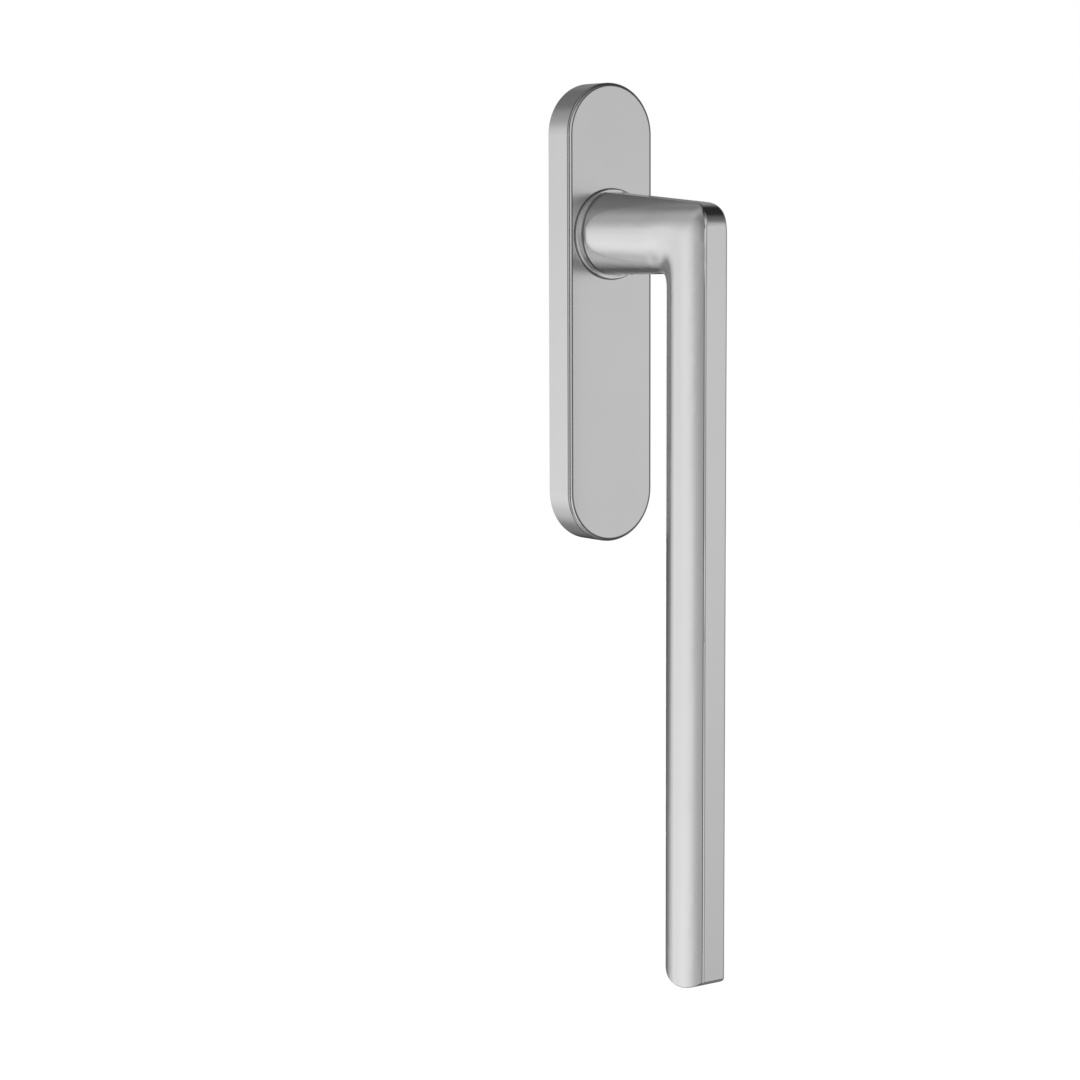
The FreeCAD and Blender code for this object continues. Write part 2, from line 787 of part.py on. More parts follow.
def fan_section(angle):
    """Sizes of the bend's oval, as expressions, at an angle round the bend.

    The sections stand like a fan about a line in the inner corner, upright at 0 degrees,
    where the neck ends, and level at 90 degrees, where the grip starts. Their inner ends
    keep the inner corner's radius. Their widest line and their outer ends turn from the
    neck's direction to the grip's in squarish curves.
    """
    up = f"cos({angle} deg)"
    out = f"sin({angle} deg)"
    outer = squarish(
        f"( ( {up} + {TOP_TAPER} * {out} ) / ( {PIVOT_DROP} + bend_above_axis ) )",
        f"( {out} / ( {PIVOT_TO_WIDEST} + grip_oval_reach ) )",
        OUTER_SHARPNESS,
    )
    widest = squarish(f"( {up} / {PIVOT_DROP} )", f"( {out} / {PIVOT_TO_WIDEST} )", WIDEST_SHARPNESS)
    depth = f"( {PIVOT_DEPTH} + {widest} * {out} )"
    return {
        "depth": depth,
        "height": f"( {widest} * {up} - {PIVOT_DROP} )",
        "outer": f"( {outer} - {widest} )",
        "inner": f"( {widest} - inner_corner_radius )",
        "half_width": half_width_at(depth),
    }


def oval_poles(section, angle):
    """Control points of an oval of four quarters that leans forwards by the angle."""
    size = {name: size_of(expression) for name, expression in section.items()}
    middle = V(0, -size["depth"], size["height"])
    lean = math.radians(angle)
    along = V(0, -math.sin(lean), math.cos(lean))
    outer = along * size["outer"]
    inner = along * -size["inner"]
    level = V(0, 0, 0)
    side = V(size["half_width"], 0, 0)
    around = (
        (outer, 0), (outer, 1), (level, 1), (inner, 1), (inner, 0),
        (inner, -1), (level, -1), (outer, -1), (outer, 0),
    )
    return [middle + reach + side * across for reach, across in around]


def quarter_surface(columns):
    """Surface of a quarter of the ovals, from three curves of control points along the bar."""
    along = columns[0]
    side = Part.BSplineSurface()
    side.buildFromPolesMultsKnots(
        [curve.getPoles() for curve in columns],
        [3, 3],
        along.getMultiplicities(),
        [0, 1],
        along.getKnots(),
        False,
        False,
        2,
        along.Degree,
        [[weight] * along.NbPoles for weight in (1, QUARTER_WEIGHT, 1)],
    )
    return side


def make_lever_bar():
    """One smooth solid through the ovals of neck and bend, with the straight grip below.

    The neck's sections come closer together towards the bend, where the spacing is smaller.
    """
    sections = [
        (neck_section(1 - (1 - step / NECK_STEPS) ** 2), 0)
        for step in range(NECK_STEPS)
    ]
    for step in range(FAN_STEPS + 1):
        angle = 90 * step / FAN_STEPS
        sections.append((fan_section(angle), angle))
    rings = [oval_poles(section, angle) for section, angle in sections]
    middles = [(ring[0] + ring[4]) / 2 for ring in rings]
    places = [0]
    for before, after in zip(middles, middles[1:]):
        places.append(places[-1] + before.distanceToPoint(after))
    columns = []
    for points in zip(*rings):
        curve = Part.BSplineCurve()
        curve.interpolate(
            Points=list(points),
            Parameters=places,
            InitialTangent=(points[1] - points[0]) / (places[1] - places[0]),
            FinalTangent=V(0, 0, points[-1].z - points[-2].z) / (places[-1] - places[-2]),
            Scale=False,
        )
        columns.append(curve)
    downwards = V(0, 0, -size_of("grip_below_axis"))
    faces = []
    upper_edges = []
    lower_edges = []
    for quarter in range(0, len(columns) - 1, 2):
        side = quarter_surface(columns[quarter : quarter + 3])
        upper_edges.append(Part.Edge(side.vIso(places[0])))
        grip_start = Part.Edge(side.vIso(places[-1]))
        lower_edges.append(grip_start.translated(downwards))
        faces += [side.toShape(), grip_start.extrude(downwards)]
    ends = [Part.Face(Part.Wire(edges)) for edges in (upper_edges, lower_edges)]
    shell = Part.makeShell(faces + ends)
    shell.sewShape()
    bar = doc.addObject("Part::Feature", "lever_bar")
    bar.Shape = Part.makeSolid(shell)
    return bar


def tip_height(depth):
    """Height of the round tip's end at a depth, as an expression."""
    lift = f"sqrt(pow(tip_radius; 2) - pow(tip_lowest - {depth}; 2))"
    return f"( tip_radius - grip_below_axis - {lift} )"


def make_lever_outline():
    """Side outline of the lever: flat front, rounded top corner and round tip."""
    body = new_body("lever_outline")
    front = "grip_front"
    below_neck = "( grip_below_axis / 4 )"
    slope = f"( ( neck_top - corner_height ) / ( grip_front - {FLANGE_END} ) )"
    sketch = new_sketch(body, "lever_side", "YZ_Plane", "-neck_width")
    points = [
        ("0", f"-{below_neck}"),
        ("0", f"( neck_top + {slope} * {FLANGE_END} )"),
        (f"-{front}", "corner_height"),
        (f"-{front}", tip_height(front)),
        (f"-{GRIP_BACK}", tip_height(GRIP_BACK)),
        (f"-{GRIP_BACK}", f"-{below_neck}"),
    ]
    polygon(sketch, points, {points.index((f"-{front}", tip_height(front))): "tip_radius"})
    pad(body, sketch, "2 * neck_width")
    depth = size_of(front)
    height = size_of("corner_height")
    round_edges(
        body,
        "outer_corner_radius",
        lambda edge: at_depth(edge, depth) and abs(edge.BoundBox.Center.z - height) < TOUCHING,
    )
    return body


def make_hub():
    """Turned end of the lever: flange, journal, ring groove and two flats for the index disc."""
    body = new_body("hub")
    radius = "( hub_diameter / 2 )"
    groove = f"( {radius} - ring_groove_depth )"
    turn(
        body,
        "hub_section",
        [
            ("0", "hub_back"),
            (radius, "hub_back"),
            (radius, "ring_start"),
            (groove, "ring_start"),
            (groove, DISC_START),
            (radius, DISC_START),
            (radius, JOURNAL_START),
            ("( journal_diameter / 2 )", JOURNAL_START),
            ("( journal_diameter / 2 )", FLANGE_START),
            (COLLAR_OUTSIDE, FLANGE_START),
            (COLLAR_OUTSIDE, FLANGE_END),
            ("0", FLANGE_END),
        ],
    )
    depth = size_of(FLANGE_END)
    round_edges(body, "flange_edge_radius", lambda edge: at_depth(edge, depth))
    for name, side in (("left", "-"), ("right", "")):
        flat = polygon(
            front_sketch(body, f"hub_flat_{name}", "hub_back"),
            [
                (f"{side}{HUB_FLAT}", f"-{radius}"),
                (f"{side}{radius}", f"-{radius}"),
                (f"{side}{radius}", radius),
                (f"{side}{HUB_FLAT}", radius),
            ],
        )
        pocket(body, flat, f"{DISC_END} - hub_back")
    return body


def make_neck_groove():
    """Room in the face of the flange for a narrow groove round the neck."""
    upright = "( ( neck_above_axis + neck_below_axis ) / 2 + groove_width )"
    section = {
        "depth": FLANGE_END,
        "height": "( neck_above_axis - neck_below_axis ) / 2",
        "outer": upright,
        "inner": upright,
        "half_width": "neck_width / 2 + groove_width",
    }
    poles = oval_poles(section, 0)
    edges = []
    for quarter in range(0, len(poles) - 1, 2):
        curve = Part.BezierCurve()
        curve.setPoles(poles[quarter : quarter + 3])
        curve.setWeight(2, QUARTER_WEIGHT)
        edges.append(curve.toShape())
    oval = Part.Face(Part.Wire(edges))
    prism = doc.addObject("Part::Feature", "groove_prism")
    prism.Shape = oval.extrude(V(0, size_of("groove_depth"), 0))
    box = doc.addObject("Part::Box", "groove_box")
    bind(box, "Length", "neck_width + 2 * groove_width")
    bind(box, "Width", "2 * groove_depth")
    bind(box, "Height", "neck_top + neck_below_axis + 2 * groove_width")
    bind(box, "Placement.Base.x", "-( neck_width / 2 + groove_width )")
    bind(box, "Placement.Base.y", f"-( {FLANGE_END} + groove_depth )")
    bind(box, "Placement.Base.z", "-( neck_below_axis + groove_width )")
    return joined("Part::Common", "neck_groove", prism, box)


def make_spindle_socket():
    """Room for the spindle, from the back of the hub into the neck."""
    body = new_body("spindle_socket")
    half = "( spindle_side / 2 + spindle_gap )"
    square = rectangle(front_sketch(body, "socket_square"), half, f"-{half}", half)
    pad(body, square, "spindle_seat + spindle_gap")
    return body


def make_grub_hole():
    """Threaded hole through the underside of the neck."""
    body = new_body("grub_hole")
    outline = circle(new_sketch(body, "grub_hole_outline", "XY_Plane"), "grub_diameter / 2 + thread_gap")
    pad(body, outline, "neck_below_axis")
    bind(body, "Placement.Base.y", "-grub_depth")
    bind(body, "Placement.Base.z", "-neck_below_axis")
    return body


def joined(kind, name, base, tool):
    """A boolean of two solids, as an object of the document."""
    feature = doc.addObject(kind, name)
    feature.Base = base
    feature.Tool = tool
    doc.recompute()
    return feature


def lever_edges(shape):
    """Edges of the ridges beside the flat front, and edges round the tip."""
    front_depth = "grip_front"
    front = size_of(front_depth)
    nose_end = size_of(tip_height(front_depth))
    longest = size_of("grip_depth") * 2
    ridges = []
    tip = []
    for index, edge in enumerate(shape.Edges, start=1):
        box = edge.BoundBox
        meets_front = abs(box.YMin + front) < TOUCHING
        level = box.YLength < TOUCHING and box.ZLength < TOUCHING
        if box.ZMin < nose_end + TOUCHING and box.ZLength < longest and (meets_front or not level):
            tip.append(index)
        elif meets_front and not level:
            ridges.append(index)
    return ridges, tip


def make_lever():
    """One casting: neck, bend and grip in one oval bar, cut to the side outline, with the hub."""
    form = joined("Part::Common", "lever_form", make_lever_bar(), make_lever_outline())
    rounded = doc.addObject("Part::Fillet", "lever_rounded")
    rounded.Base = form
    ridges, tip = lever_edges(form.Shape)
    ridge_radius = size_of("ridge_radius")
    tip_radius = size_of("tip_edge_radius")
    rounded.Edges = [(index, ridge_radius, ridge_radius) for index in ridges] + [
        (index, tip_radius, tip_radius) for index in tip
    ]
    doc.recompute()
    grooved = joined("Part::Cut", "hub_grooved", make_hub(), make_neck_groove())
    solid = joined("Part::Fuse", "lever_solid", rounded, grooved)
    bored = joined("Part::Cut", "lever_bored", solid, make_spindle_socket())
    lever = joined("Part::Cut", "lever", bored, make_grub_hole())
    lever.Label = "lever"
    return lever


def check(parts):
    """Stop unless every object is up to date and every sub-part is one valid solid."""
    for item in doc.Objects:
        for problem in ("Invalid", "Error"):
            if problem in item.State:
                raise RuntimeError(f"{item.Label} is {item.State}")
    for part in parts:
        shape = part.Shape
        if shape.isNull() or not shape.isValid() or len(shape.Solids) != 1:
            raise RuntimeError(f"{part.Label} is not one valid solid")


parts = [
    make_cover_plate(),
    make_base_plate(),
    make_collar_ring(),
    make_bearing_bush(),
    make_thrust_washer(),
    make_disc_spring(),
    make_index_disc(),
    make_mechanism_lid(),
    make_retaining_ring(),
    make_leaf_spring("left", "-"),
    make_leaf_spring("right", ""),
    make_cover_clip("upper", "plate_above_axis", ""),
    make_cover_clip("lower", "plate_below_axis", "-"),
    make_fixing_screw("upper", "screw_above_axis"),
    make_fixing_screw("lower", f"-{SCREW_BELOW}"),
    make_spindle(),
    make_grub_screw(),
    make_lever(),
]
parts += [
    make_lid_screw(number, across, up)
    for number, (across, up) in enumerate(LID_SCREW_PLACES, start=1)
]

doc.recompute()
check(parts)
os.makedirs("parts", exist_ok=True)
for part in parts:
    part.Shape.exportStep(f"parts/{part.Label}.step")
    box = part.Shape.BoundBox
    print(f"{part.Label}: volume {part.Shape.Volume:.1f}, Z {box.ZMin:.2f} to {box.ZMax:.2f}")
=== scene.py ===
import bmesh
import bpy
import math
from collections import namedtuple
from mathutils import Euler, Matrix, Vector


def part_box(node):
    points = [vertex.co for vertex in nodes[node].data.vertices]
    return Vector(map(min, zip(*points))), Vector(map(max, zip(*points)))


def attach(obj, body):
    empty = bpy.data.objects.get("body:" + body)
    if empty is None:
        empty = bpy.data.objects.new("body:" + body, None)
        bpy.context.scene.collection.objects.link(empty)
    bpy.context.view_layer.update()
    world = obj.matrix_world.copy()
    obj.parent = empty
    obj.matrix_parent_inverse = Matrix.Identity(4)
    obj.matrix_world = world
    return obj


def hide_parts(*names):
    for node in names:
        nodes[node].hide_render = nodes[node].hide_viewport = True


# Lift and slide door handle, metres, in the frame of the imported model:
# the origin is on the spindle axis in the door face, the user stands at negative Y.

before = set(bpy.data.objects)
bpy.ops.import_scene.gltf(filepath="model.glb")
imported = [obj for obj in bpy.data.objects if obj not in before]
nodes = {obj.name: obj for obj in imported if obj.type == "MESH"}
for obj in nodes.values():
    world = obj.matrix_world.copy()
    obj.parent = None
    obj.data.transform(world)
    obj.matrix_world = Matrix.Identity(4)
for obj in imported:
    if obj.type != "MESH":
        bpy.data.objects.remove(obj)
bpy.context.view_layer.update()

# Shader nodes


def feed(tree, node, inputs):
    """Gives inputs of a node a value each, or the output that they are linked to."""
    for name, value in inputs.items():
        if isinstance(value, bpy.types.NodeSocket):
            tree.links.new(value, node.inputs[name])
        else:
            node.inputs[name].default_value = value


def add_node(tree, kind, inputs):
    node = tree.nodes.new(kind)
    feed(tree, node, inputs)
    return node


def calculate(tree, operation, *values, clamp=False):
    """Result of one Math node."""
    node = add_node(tree, "ShaderNodeMath", dict(enumerate(values)))
    node.operation = operation
    node.use_clamp = clamp
    return node.outputs["Value"]


def measure_vector(tree, operation, *vectors):
    """The number that one Vector Math node gives."""
    node = add_node(tree, "ShaderNodeVectorMath", dict(enumerate(vectors)))
    node.operation = operation
    return node.outputs["Value"]


def combine(tree, operation, values, clamp=False):
    """Sum, or another result, of any number of values."""
    result, *others = values
    for value in others:
        result = calculate(tree, operation, result, value, clamp=clamp)
    return result


def map_range(tree, value, before, after, kind="LINEAR"):
    """A value between two numbers, moved to between two others."""
    ramp = add_node(tree, "ShaderNodeMapRange", {
        "Value": value,
        "From Min": before[0],
        "From Max": before[1],
        "To Min": after[0],
        "To Max": after[1],
    })
    ramp.interpolation_type = kind
    return ramp.outputs["Result"]


def mix_colours(tree, share, first, second):
    mix = tree.nodes.new("ShaderNodeMix")
    mix.data_type = "RGBA"
    feed(tree, mix, {"Factor": share, "A": first, "B": second})
    return mix.outputs["Result"]


def new_material(name):
    """A material, its nodes and its shader."""
    material = bpy.data.materials.new(name)
    material.use_nodes = True
    tree = material.node_tree
    return material, tree, tree.nodes["Principled BSDF"]


# Surfaces with a grain

# Kinds of skin: scale and detail of the noise in the grain and of the clouds in the colour,
# the share by which clouds darken and lighten the colour, and the grain's height in metres
Skin = namedtuple("Skin", "grain clouds contrast height")
SATIN_SKIN = Skin(grain=(9000, 3), clouds=(40, 4), contrast=0.012, height=0.000002)
STEEL_SKIN = Skin(grain=(5000, 4), clouds=(160, 5), contrast=0.07, height=0.000008)
CAST_SKIN = Skin(grain=(2200, 6), clouds=(60, 5), contrast=0.12, height=0.00005)
MOULDED_SKIN = Skin(grain=(4000, 3), clouds=(90, 3), contrast=0.15, height=0.00003)
# Most of a noise lies between these values
NOISE_RANGE = (0.3, 0.7)
BUMP_STRENGTH = 0.3
EVEN = (1, 1, 1)


def noise(tree, scale, detail, stretch):
    """Noise in the object's own space, longer along an axis that is shrunk."""
    place = add_node(tree, "ShaderNodeTexCoord", {}).outputs["Object"]
    mapping = add_node(tree, "ShaderNodeMapping", {"Vector": place, "Scale": stretch})
    texture = add_node(tree, "ShaderNodeTexNoise", {
        "Vector": mapping.outputs["Vector"],
        "Scale": scale,
        "Detail": detail,
    })
    return texture.outputs["Fac"]


def grey(value):
    return (value, value, value)


def surface(name, skin, colour, rough, metallic=1, drawn=EVEN, flow=EVEN):
    """A material whose grain varies its roughness and height, and whose clouds vary its colour.

    Drawn and flow shrink the axis along which the grain and the clouds are long.
    """
    material, tree, shader = new_material(name)
    grain = noise(tree, *skin.grain, drawn)
    clouds = map_range(tree, noise(tree, *skin.clouds, flow), NOISE_RANGE, (0, 1))
    darker = [value * (1 - skin.contrast) for value in colour]
    lighter = [value * (1 + skin.contrast) for value in colour]
    bump = add_node(tree, "ShaderNodeBump", {
        "Height": grain,
        "Strength": BUMP_STRENGTH,
        "Distance": skin.height,
    })
    feed(tree, shader, {
        "Metallic": metallic,
        "Base Color": mix_colours(tree, clouds, (*darker, 1), (*lighter, 1)),
        "Roughness": map_range(tree, grain, NOISE_RANGE, rough),
        "Normal": bump.outputs["Normal"],
    })
    return material


# Painted shade: fine dark lines on the backplate and the collar ring

# Painted dark reflections beside the backplate's rounded edge, metres: from the outline and from
# the front, and half their widths
FACE_REFLECTION_INSET = 0.00105
SIDE_REFLECTION_DEPTH = 0.00125
FACE_REFLECTION_LINE = 0.00038
SIDE_REFLECTION_LINE = 0.00055
EDGE_REFLECTION_STRENGTH = 0.85
# Painted lines round the collar ring, metres: half the widths of the painted shadow on the
# backplate and the painted dark reflection on the ring, and how far that one is from the outline
RING_SHADOW_LINE = 0.00040
RING_REFLECTION_LINE = 0.00022
RING_REFLECTION_INSET = 0.00010
RING_SHADOW_AND_REFLECTION_STRENGTH = 0.75
# Colour of the painted shadow and the painted dark reflections
PAINTED_SHADE_COLOUR = (0.05, 0.05, 0.05, 1)
RING_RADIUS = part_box("collar_ring")[1][0]


def split_place(tree):
    """Coordinates of a point of the surface, one by one."""
    place = add_node(tree, "ShaderNodeTexCoord", {}).outputs["Object"]
    return add_node(tree, "ShaderNodeSeparateXYZ", {"Vector": place}).outputs


def from_spine(tree, place, bottom, top):
    """Distance from an upright line between two heights, seen from the front."""
    spine = add_node(tree, "ShaderNodeClamp", {"Value": place["Z"], "Min": bottom, "Max": top})
    past_end = calculate(tree, "SUBTRACT", place["Z"], spine.outputs["Result"])
    across = add_node(tree, "ShaderNodeCombineXYZ", {"X": place["X"], "Y": past_end})
    return measure_vector(tree, "LENGTH", across.outputs["Vector"])


def soft_shade_line(tree, value, middle, half_width, strength):
    """A painted shade line where the value is near its middle, which fades out to both sides."""
    away = calculate(tree, "ABSOLUTE", calculate(tree, "SUBTRACT", value, middle))
    return map_range(tree, away, (0, half_width), (strength, 0), "SMOOTHSTEP")


def paint_shade_lines(tree, *lines):
    """Painted shade lines over the colour that a material has."""
    shader = tree.nodes["Principled BSDF"]
    plain = shader.inputs["Base Color"].links[0].from_socket
    shade_mask = combine(tree, "MAXIMUM", lines)
    feed(tree, shader, {"Base Color": mix_colours(tree, shade_mask, plain, PAINTED_SHADE_COLOUR)})


def paint_plate_shade(material):
    """Painted dark reflections on both sides of the backplate's rounded edge, and painted shadow
    where the ring stands.
    """
    low, high = (Vector(corner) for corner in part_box("cover_plate"))
    outside = (high.x - low.x) / 2
    tree = material.node_tree
    place = split_place(tree)
    edge = from_spine(tree, place, low.z + outside, high.z - outside)
    axis = from_spine(tree, place, 0, 0)
    paint_shade_lines(
        tree,
        soft_shade_line(tree, edge, outside - FACE_REFLECTION_INSET, FACE_REFLECTION_LINE, EDGE_REFLECTION_STRENGTH),
        soft_shade_line(tree, place["Y"], low.y + SIDE_REFLECTION_DEPTH, SIDE_REFLECTION_LINE, EDGE_REFLECTION_STRENGTH),
        soft_shade_line(tree, axis, RING_RADIUS, RING_SHADOW_LINE, RING_SHADOW_AND_REFLECTION_STRENGTH),
    )


def paint_ring_reflection(material):
    """A painted dark reflection along the outer edge of the collar ring's front."""
    tree = material.node_tree
    axis = from_spine(tree, split_place(tree), 0, 0)
    paint_shade_lines(tree, soft_shade_line(tree, axis, RING_RADIUS - RING_REFLECTION_INSET, RING_REFLECTION_LINE, RING_SHADOW_AND_REFLECTION_STRENGTH))


# Materials: name, skin, colour, and lowest and highest roughness

SATIN = surface("satin_nickel", SATIN_SKIN, grey(0.66), (0.17, 0.21))
SATIN_RING = surface("satin_nickel_ring", SATIN_SKIN, grey(0.69), (0.17, 0.21))
SATIN_SHEET = surface("satin_nickel_sheet", SATIN_SKIN, grey(0.69), (0.23, 0.27))
# Painted dark reflections on the ring's edge and the backplate's edge, and painted shadow round
# the ring
paint_ring_reflection(SATIN_RING)
paint_plate_shade(SATIN_SHEET)
ZINC_PLATED = surface("zinc_plated_steel", STEEL_SKIN, (0.60, 0.61, 0.62), (0.26, 0.42))
DRAWN_STEEL = surface(
    "drawn_steel", STEEL_SKIN, (0.56, 0.56, 0.57), (0.24, 0.40), drawn=(1, 0.03, 1)
)
SPRING_STEEL = surface(
    "spring_steel", STEEL_SKIN, (0.33, 0.33, 0.35), (0.22, 0.38), drawn=(1, 1, 0.05)
)
SINTERED_STEEL = surface("sintered_steel", STEEL_SKIN, (0.38, 0.38, 0.39), (0.45, 0.65))
BLACK_STEEL = surface("black_oxide_steel", STEEL_SKIN, (0.07, 0.07, 0.075), (0.30, 0.48))
CASTING = surface(
    "die_casting", CAST_SKIN, (0.43, 0.44, 0.45), (0.40, 0.62), flow=(1, 1, 0.35)
)
PLASTIC = surface(
    "black_plastic", MOULDED_SKIN, (0.03, 0.03, 0.032), (0.42, 0.58), metallic=0
)


def dress(material, *names):
    """Gives CAD nodes a material in place of their own."""
    for name in names:
        node = nodes[name]
        if node.material_slots:
            for place in node.material_slots:
                place.material = material
        else:
            node.data.materials.append(material)


dress(SATIN, "lever")
dress(SATIN_RING, "collar_ring")
dress(SATIN_SHEET, "cover_plate")
dress(CASTING, "base_plate")
dress(ZINC_PLATED, "mechanism_lid")
dress(DRAWN_STEEL, "spindle")
dress(SPRING_STEEL, "retaining_ring", "disc_spring", "leaf_spring_left", "leaf_spring_right")
dress(SPRING_STEEL, "cover_clip_upper", "cover_clip_lower")
dress(SINTERED_STEEL, "index_disc")
dress(PLASTIC, "bearing_bush", "thrust_washer")

# Screws with their threads and keys

# Points round each ring of a screw, and rings in each turn of a thread
AROUND = 48
RINGS_PER_TURN = 8
# A thread's flanks are this much steeper than sharp ones, which leaves its crest flat
FLANK_SLOPE = 1.25
# Where the middle ring of a rounded edge lies, as a share of the edge
EDGE_MIDDLE = 0.3
# Edges sharper than this stay crisp
CREASE = math.radians(32)
# The screws' axes: the head's face is at the start, and the point at the far end
TOWARDS_DOOR = Matrix.Rotation(math.radians(-90), 4, "X")
AWAY_FROM_DOOR = Matrix.Rotation(math.radians(90), 4, "X")


# An outline round the axis is a function from an angle to a radius
def round_at(radius):
    return lambda angle: radius


def hexagon_at(across_flats):
    side = math.tau / 6
    return lambda angle: across_flats / 2 / math.cos(angle % side - side / 2)


def lobed_at(radius, depth):
    """Six round lobes."""
    return lambda angle: radius + depth * math.cos(6 * angle)


def thread_at(radius, depth, turns):
    """A thread's crest and groove, after so many turns along it."""
    def radius_at(angle):
        turn = (turns - angle / math.tau) % 1
        ridge = min(1, FLANK_SLOPE * (1 - abs(2 * turn - 1)))
        return radius - depth * (1 - ridge)
    return radius_at


# Key recesses, metres: outlines of the wall and of the chamfered rim, and depth
Key = namedtuple("Key", "wall_at rim_at depth")
# Threads, metres: depth, pitch, length of the screw's point after them and how far it tapers
Thread = namedtuple("Thread", "depth pitch point taper")

# Fixing screws, metres. The shoulder's end is behind the door face, and the step and the
# thread's start are behind the shoulder's end.
FIXING_KEY = Key(wall_at=hexagon_at(0.004), rim_at=hexagon_at(0.0044), depth=0.0024)
FIXING_THREAD = Thread(depth=0.00055, pitch=0.001, point=0.0005, taper=0.0007)
FIXING_EDGE = 0.00015
FIXING_SHANK = 0.003
FIXING_SHOULDER = 0.0031
FIXING_SHOULDER_END = 0.0025
FIXING_STEP = 0.00005
FIXING_THREAD_START = 0.0003

# Grub screw, metres
GRUB_KEY = Key(wall_at=hexagon_at(0.003), rim_at=hexagon_at(0.0033), depth=0.003)
GRUB_THREAD = Thread(depth=0.0005, pitch=0.001, point=0.0008, taper=0.0008)
GRUB_EDGE = 0.0002
GRUB_CHAMFER = 0.0003
GRUB_THREAD_START = 0.0004

# Screws of the lid, metres. The corner is the broken edge under the head.
LID_KEY = Key(wall_at=lobed_at(0.00088, 0.00012), rim_at=lobed_at(0.00096, 0.00012), depth=0.0007)
LID_THREAD = Thread(depth=0.00025, pitch=0.0006, point=0.0003, taper=0.0003)
LID_EDGE = 0.00012
LID_HEAD = 0.001
LID_CORNER_HEIGHT = 0.00004
LID_CORNER_INSET = 0.00005
LID_STEP = 0.00001
LID_SHANK = 0.0011
LID_THREAD_START = 0.0012


def key_rows(key, head_radius, edge):
    """Rings from the floor of a key recess up to the rounded edge of the head."""
    return [
        (key.wall_at, key.depth),
        (key.wall_at, edge),
        (key.rim_at, 0),
        (round_at(head_radius - edge), 0),
        (round_at(head_radius - edge * EDGE_MIDDLE), edge * EDGE_MIDDLE),
        (round_at(head_radius), edge),
    ]


def thread_rows(start, length, radius, thread):
    """Rings of a thread that runs out at both ends, up to the screw's point."""
    end = length - thread.point
    steps = round((end - start) / thread.pitch * RINGS_PER_TURN)
    rows = []
    for step in range(steps + 1):
        along = start + (end - start) * step / steps
        run_out = min(1, step / RINGS_PER_TURN, (steps - step) / RINGS_PER_TURN)
        rows.append((thread_at(radius, thread.depth * run_out, along / thread.pitch), along))
    rows.append((round_at(radius - thread.taper), length))
    return rows


def new_object(name, built):
    """An object of the scene from a built mesh."""
    mesh = bpy.data.meshes.new(name)
    built.to_mesh(mesh)
    built.free()
    made = bpy.data.objects.new(name, mesh)
    bpy.context.collection.objects.link(made)
    return made


def screw(name, rows, place, body, material):
    """A closed screw from rings of points, which takes the place of a plain one."""
    built = bmesh.new()
    rings = []
    for radius_at, along in rows:
        ring = []
        for step in range(AROUND):
            angle = math.tau * step / AROUND
            radius = radius_at(angle)
            point = Vector((radius * math.cos(angle), radius * math.sin(angle), along))
            ring.append(built.verts.new(place @ point))
        rings.append(ring)
    for before, after in zip(rings, rings[1:]):
        for step in range(AROUND):
            beside = (step + 1) % AROUND
            built.faces.new((before[step], before[beside], after[beside], after[step]))
    for ring in (rings[0], rings[-1]):
        built.faces.new(ring)
    bmesh.ops.recalc_face_normals(built, faces=built.faces)
    for face in built.faces:
        face.smooth = True
    for edge in built.edges:
        edge.smooth = edge.calc_face_angle(0) < CREASE
    piece = new_object(f"threaded_{name}", built)
    piece.data.materials.append(material)
    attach(piece, body)
    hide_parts(name)


def corners_of(name):
    """A CAD node's lowest and highest corner, and the middle between them."""
    low, high = (Vector(corner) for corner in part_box(name))
    return low, high, (low + high) / 2


def make_fixing_screw(name):
    """Countersunk shoulder screw with a hexagon socket, its thread behind the door face."""
    low, high, middle = corners_of(name)
    head = (high.x - low.x) / 2
    shoulder_end = FIXING_SHOULDER_END - low.y
    rows = key_rows(FIXING_KEY, head, FIXING_EDGE)
    rows += [
        (round_at(FIXING_SHOULDER), head - FIXING_SHOULDER),
        (round_at(FIXING_SHOULDER), shoulder_end),
        (round_at(FIXING_SHANK), shoulder_end + FIXING_STEP),
    ]
    thread_start = shoulder_end + FIXING_THREAD_START
    rows += thread_rows(thread_start, high.y - low.y, FIXING_SHANK, FIXING_THREAD)
    place = Matrix.Translation((middle.x, low.y, middle.z)) @ TOWARDS_DOOR
    screw(name, rows, place, "backplate", ZINC_PLATED)


def make_grub_screw(name):
    """Headless screw, threaded all along, with a hexagon socket in its lower end."""
    low, high, middle = corners_of(name)
    radius = (high.x - low.x) / 2
    rows = key_rows(GRUB_KEY, radius - GRUB_CHAMFER, GRUB_EDGE)
    rows += thread_rows(GRUB_THREAD_START, high.z - low.z, radius, GRUB_THREAD)
    place = Matrix.Translation((middle.x, middle.y, low.z))
    screw(name, rows, place, "lever", BLACK_STEEL)


def make_lid_screw(name):
    """Small screw with a flat head and a recess of six lobes, flush with the door face."""
    low, high, middle = corners_of(name)
    head = (high.x - low.x) / 2
    rows = key_rows(LID_KEY, head, LID_EDGE)
    rows += [
        (round_at(head), LID_HEAD - LID_CORNER_HEIGHT),
        (round_at(head - LID_CORNER_INSET), LID_HEAD),
        (round_at(LID_SHANK), LID_HEAD + LID_STEP),
    ]
    rows += thread_rows(LID_THREAD_START, high.y - low.y, LID_SHANK, LID_THREAD)
    place = Matrix.Translation((middle.x, high.y, middle.z)) @ AWAY_FROM_DOOR
    screw(name, rows, place, "backplate", ZINC_PLATED)


for name in ("fixing_screw_upper", "fixing_screw_lower"):
    make_fixing_screw(name)
make_grub_screw("grub_screw")
for number in range(1, 5):
    make_lid_screw(f"lid_screw_{number}")

# Camera

# Found from the outline of the object in the photograph: millimetres, degrees and metres
CAMERA_LENS = 91.568
CAMERA_SENSOR = 36
CAMERA_YAW = 35.0661
CAMERA_PITCH = 6.7321
CAMERA_ROLL = -0.2207
CAMERA_PLACE = (-0.57831, -0.79216, 0.00649)


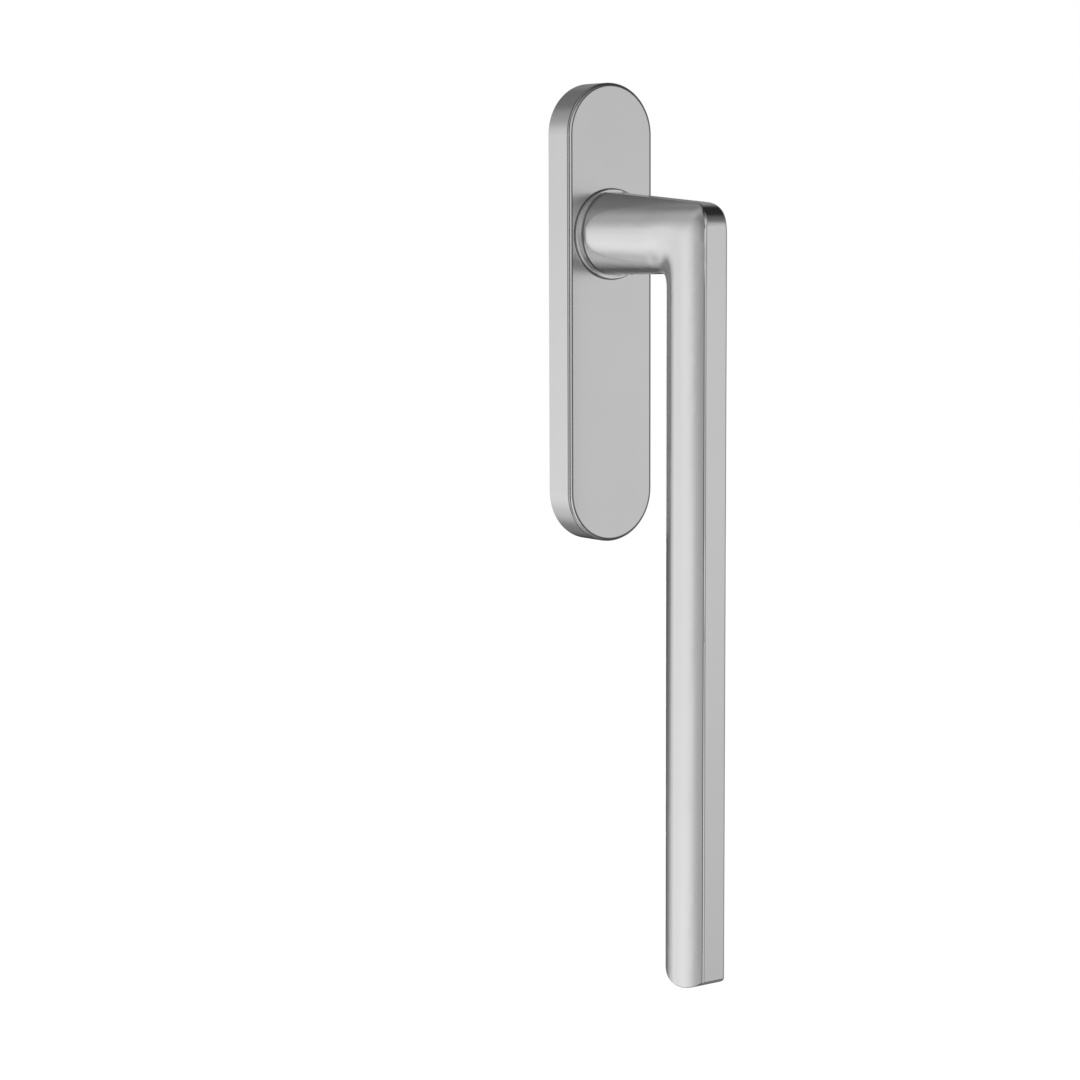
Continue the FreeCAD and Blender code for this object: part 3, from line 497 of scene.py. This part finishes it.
def make_camera():
    """In front, to the left and a little above, at the photograph's viewing angle."""
    camera = bpy.data.objects.new("camera", bpy.data.cameras.new("camera"))
    camera.data.lens = CAMERA_LENS
    camera.data.sensor_width = CAMERA_SENSOR
    aim = Euler((math.radians(90 - CAMERA_PITCH), 0, math.radians(-CAMERA_YAW)))
    roll = Matrix.Rotation(math.radians(CAMERA_ROLL), 4, "Z")
    camera.matrix_world = Matrix.Translation(CAMERA_PLACE) @ aim.to_matrix().to_4x4() @ roll
    bpy.context.collection.objects.link(camera)
    bpy.context.scene.camera = camera


# Light and floor

# Soft lights of the studio: azimuth from the front, to the right, elevation and strength
SOFT_LIGHTS = [
    (0, -60, 0.45),
    (130, -60, 0.15),
    (240, -60, 0.85),
    (110, -30, 0.30),
    (180, -30, 0.30),
    (215, -30, 0.70),
    (250, -30, 0.15),
    (325, -32, 1.25),
    (25, -8, 0.58),
    (50, -8, 0.45),
    (90, 0, 0.40),
    (205, -8, 0.15),
    (230, -8, 0.65),
    (255, -8, 0.75),
    (335, -8, 0.40),
    (40, 15, 0.20),
    (130, 25, 0.40),
    (220, 15, 0.55),
    (320, 15, 0.65),
    (345, 15, 0.45),
    (0, 40, 0.30),
    (180, 40, 0.20),
    (250, 40, 0.45),
    (290, 40, 0.15),
    (210, 65, 0.30),
]
# Each soft light fades out at this angle from its middle, in degrees
LIGHT_SPREAD = 32
LIGHT_COLOUR = (0.8, 0.8, 0.8, 1)
WHITE = (1, 1, 1, 1)
# Share of the white background that gloss shows, over the soft lights
WHITE_IN_GLOSS = 0.03

# Floor, metres, and the share of white it gives off by itself, under its shadow
FLOOR_HEIGHT = -0.40
FLOOR_RADIUS = 2.5
FLOOR_SIDES = 128
FLOOR_COLOUR = (0.85, 0.85, 0.85, 1)
FLOOR_GLOW = 0.86


def soft_light(tree, where, azimuth, elevation, strength):
    """A light's strength in each direction."""
    across = math.radians(azimuth)
    up = math.radians(elevation)
    middle = (
        math.sin(across) * math.cos(up),
        -math.cos(across) * math.cos(up),
        math.sin(up),
    )
    towards = measure_vector(tree, "DOT_PRODUCT", where, middle)
    edge = math.cos(math.radians(LIGHT_SPREAD))
    return map_range(tree, towards, (edge, 1), (0, strength), "SMOOTHSTEP")


def background_share(tree, in_gloss):
    """1 for what the camera sees itself or through glass, less for what gloss shows."""
    rays = add_node(tree, "ShaderNodeLightPath", {}).outputs
    gloss = calculate(tree, "MULTIPLY", rays["Is Glossy Ray"], in_gloss)
    seen = (rays["Is Camera Ray"], rays["Is Transmission Ray"], gloss)
    return combine(tree, "ADD", seen, clamp=True)


def make_world():
    """White behind the object, and soft lights all round for what it reflects."""
    world = bpy.data.worlds.new("studio")
    world.use_nodes = True
    bpy.context.scene.world = world
    tree = world.node_tree
    tree.nodes.clear()
    where = add_node(tree, "ShaderNodeTexCoord", {}).outputs["Generated"]
    light = combine(tree, "ADD", [soft_light(tree, where, *row) for row in SOFT_LIGHTS])
    studio = add_node(tree, "ShaderNodeBackground", {"Color": LIGHT_COLOUR, "Strength": light})
    white = add_node(tree, "ShaderNodeBackground", {"Color": WHITE})
    choose = add_node(tree, "ShaderNodeMixShader", {
        0: background_share(tree, WHITE_IN_GLOSS),
        1: studio.outputs["Background"],
        2: white.outputs["Background"],
    })
    add_node(tree, "ShaderNodeOutputWorld", {"Surface": choose.outputs["Shader"]})


def make_floor():
    """Plain pale floor below the handle, white where nothing shades it."""
    built = bmesh.new()
    bmesh.ops.create_circle(built, cap_ends=True, segments=FLOOR_SIDES, radius=FLOOR_RADIUS)
    floor = new_object("floor", built)
    floor.location.z = FLOOR_HEIGHT
    material, tree, shader = new_material("floor")
    feed(tree, shader, {
        "Base Color": FLOOR_COLOUR,
        "Roughness": 1,
        "Specular IOR Level": 0,
        "Emission Color": WHITE,
        "Emission Strength": calculate(tree, "MULTIPLY", background_share(tree, 1), FLOOR_GLOW),
    })
    floor.data.materials.append(material)
    floor.visible_glossy = False
    floor.visible_diffuse = False


make_camera()
make_world()
make_floor()
bpy.context.scene.view_settings.view_transform = "Standard"
